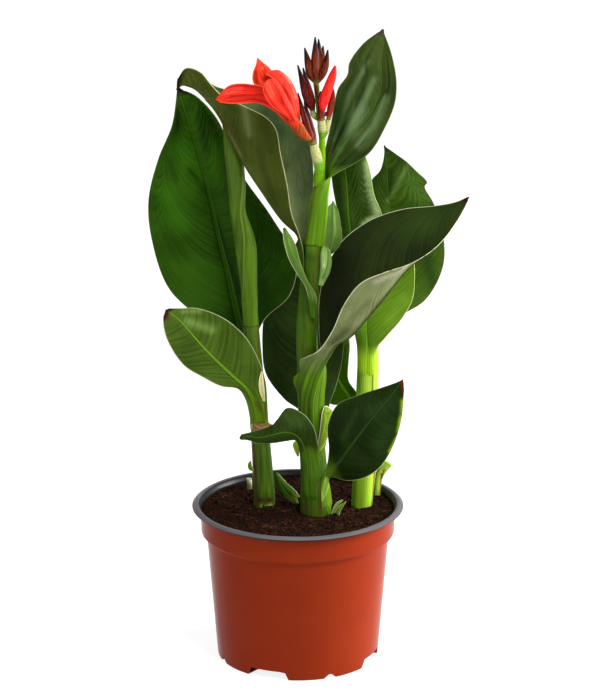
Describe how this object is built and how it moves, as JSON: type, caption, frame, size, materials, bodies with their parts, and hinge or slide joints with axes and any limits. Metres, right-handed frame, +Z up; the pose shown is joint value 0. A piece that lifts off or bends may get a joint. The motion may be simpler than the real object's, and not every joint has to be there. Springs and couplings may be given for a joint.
{
  "type": "potted canna lily plant",
  "caption": "Canna lily in a plain nursery pot: leafy shoots with broad pointed leaves, one bearing a scarlet bloom over dark red buds, standing on the pot's feet.",
  "frame": {"origin": "middle of the plant's outline seen from above, on the surface that the pot's feet stand on", "axes": "+Z up along the pot's axis, -Y towards the front of the plant, +X to the right as seen from the front"},
  "size_m": [0.2776, 0.19, 0.5722],
  "materials": {
    "pot_plastic": "injection-moulded polypropylene, orange-brown outside, black rim and inside, satin gloss",
    "potting_soil": "loose moist peat and coir, dark red-brown, matt",
    "stem_green": "living leaf sheath, bright yellow-green, satin",
    "leaf_dark_green": "living leaf blade, dark green, waxy satin",
    "leaf_mid_green": "living leaf blade, mid green, waxy satin",
    "leaf_bright_green": "young leaf blade, bright yellow-green, waxy satin",
    "leaf_grey_green": "living leaf blade, grey-green sheen",
    "leaf_olive": "living leaf blade, olive with a bronze cast",
    "stalk_pale_green": "flower stalk and warty seed pods, pale green",
    "sepal_dark_red": "dark red-brown sepals and buds, satin",
    "petal_scarlet": "petals, scarlet to coral, soft satin"
  },
  "bodies": {
    "root": {"pot": "pot_plastic", "potting_soil": "potting_soil", "left_stem": "stem_green", "centre_stem": "stem_green", "right_stem": "stem_green", "left_furled_leaf": "leaf_olive", "left_broad_leaf": "leaf_mid_green", "left_small_leaf": "leaf_mid_green", "low_curled_leaf": "leaf_dark_green", "low_right_leaf": "leaf_dark_green", "boat_leaf": "leaf_dark_green", "small_clasping_leaf": "leaf_mid_green", "arching_leaf": "leaf_olive", "top_leaf": "leaf_grey_green", "rear_dark_leaf": "leaf_dark_green", "bright_leaf": "leaf_bright_green", "rear_right_leaf": "leaf_mid_green", "pleated_leaf": "leaf_dark_green", "rear_inner_leaf": "leaf_mid_green", "small_pale_leaf": "leaf_bright_green", "soil_sprout": "stem_green", "axillary_bud": "stem_green", "cut_stub": "stem_green", "short_stub": "stalk_pale_green", "sprig": "stem_green", "flower_stalk": "stalk_pale_green", "top_buds": "sepal_dark_red", "side_buds": "sepal_dark_red", "bloom_sepals": "sepal_dark_red", "opening_bud_sepals": "sepal_dark_red", "opening_bud_petal": "petal_scarlet", "bloom_petals": "petal_scarlet"}
  },
  "joints": []
}
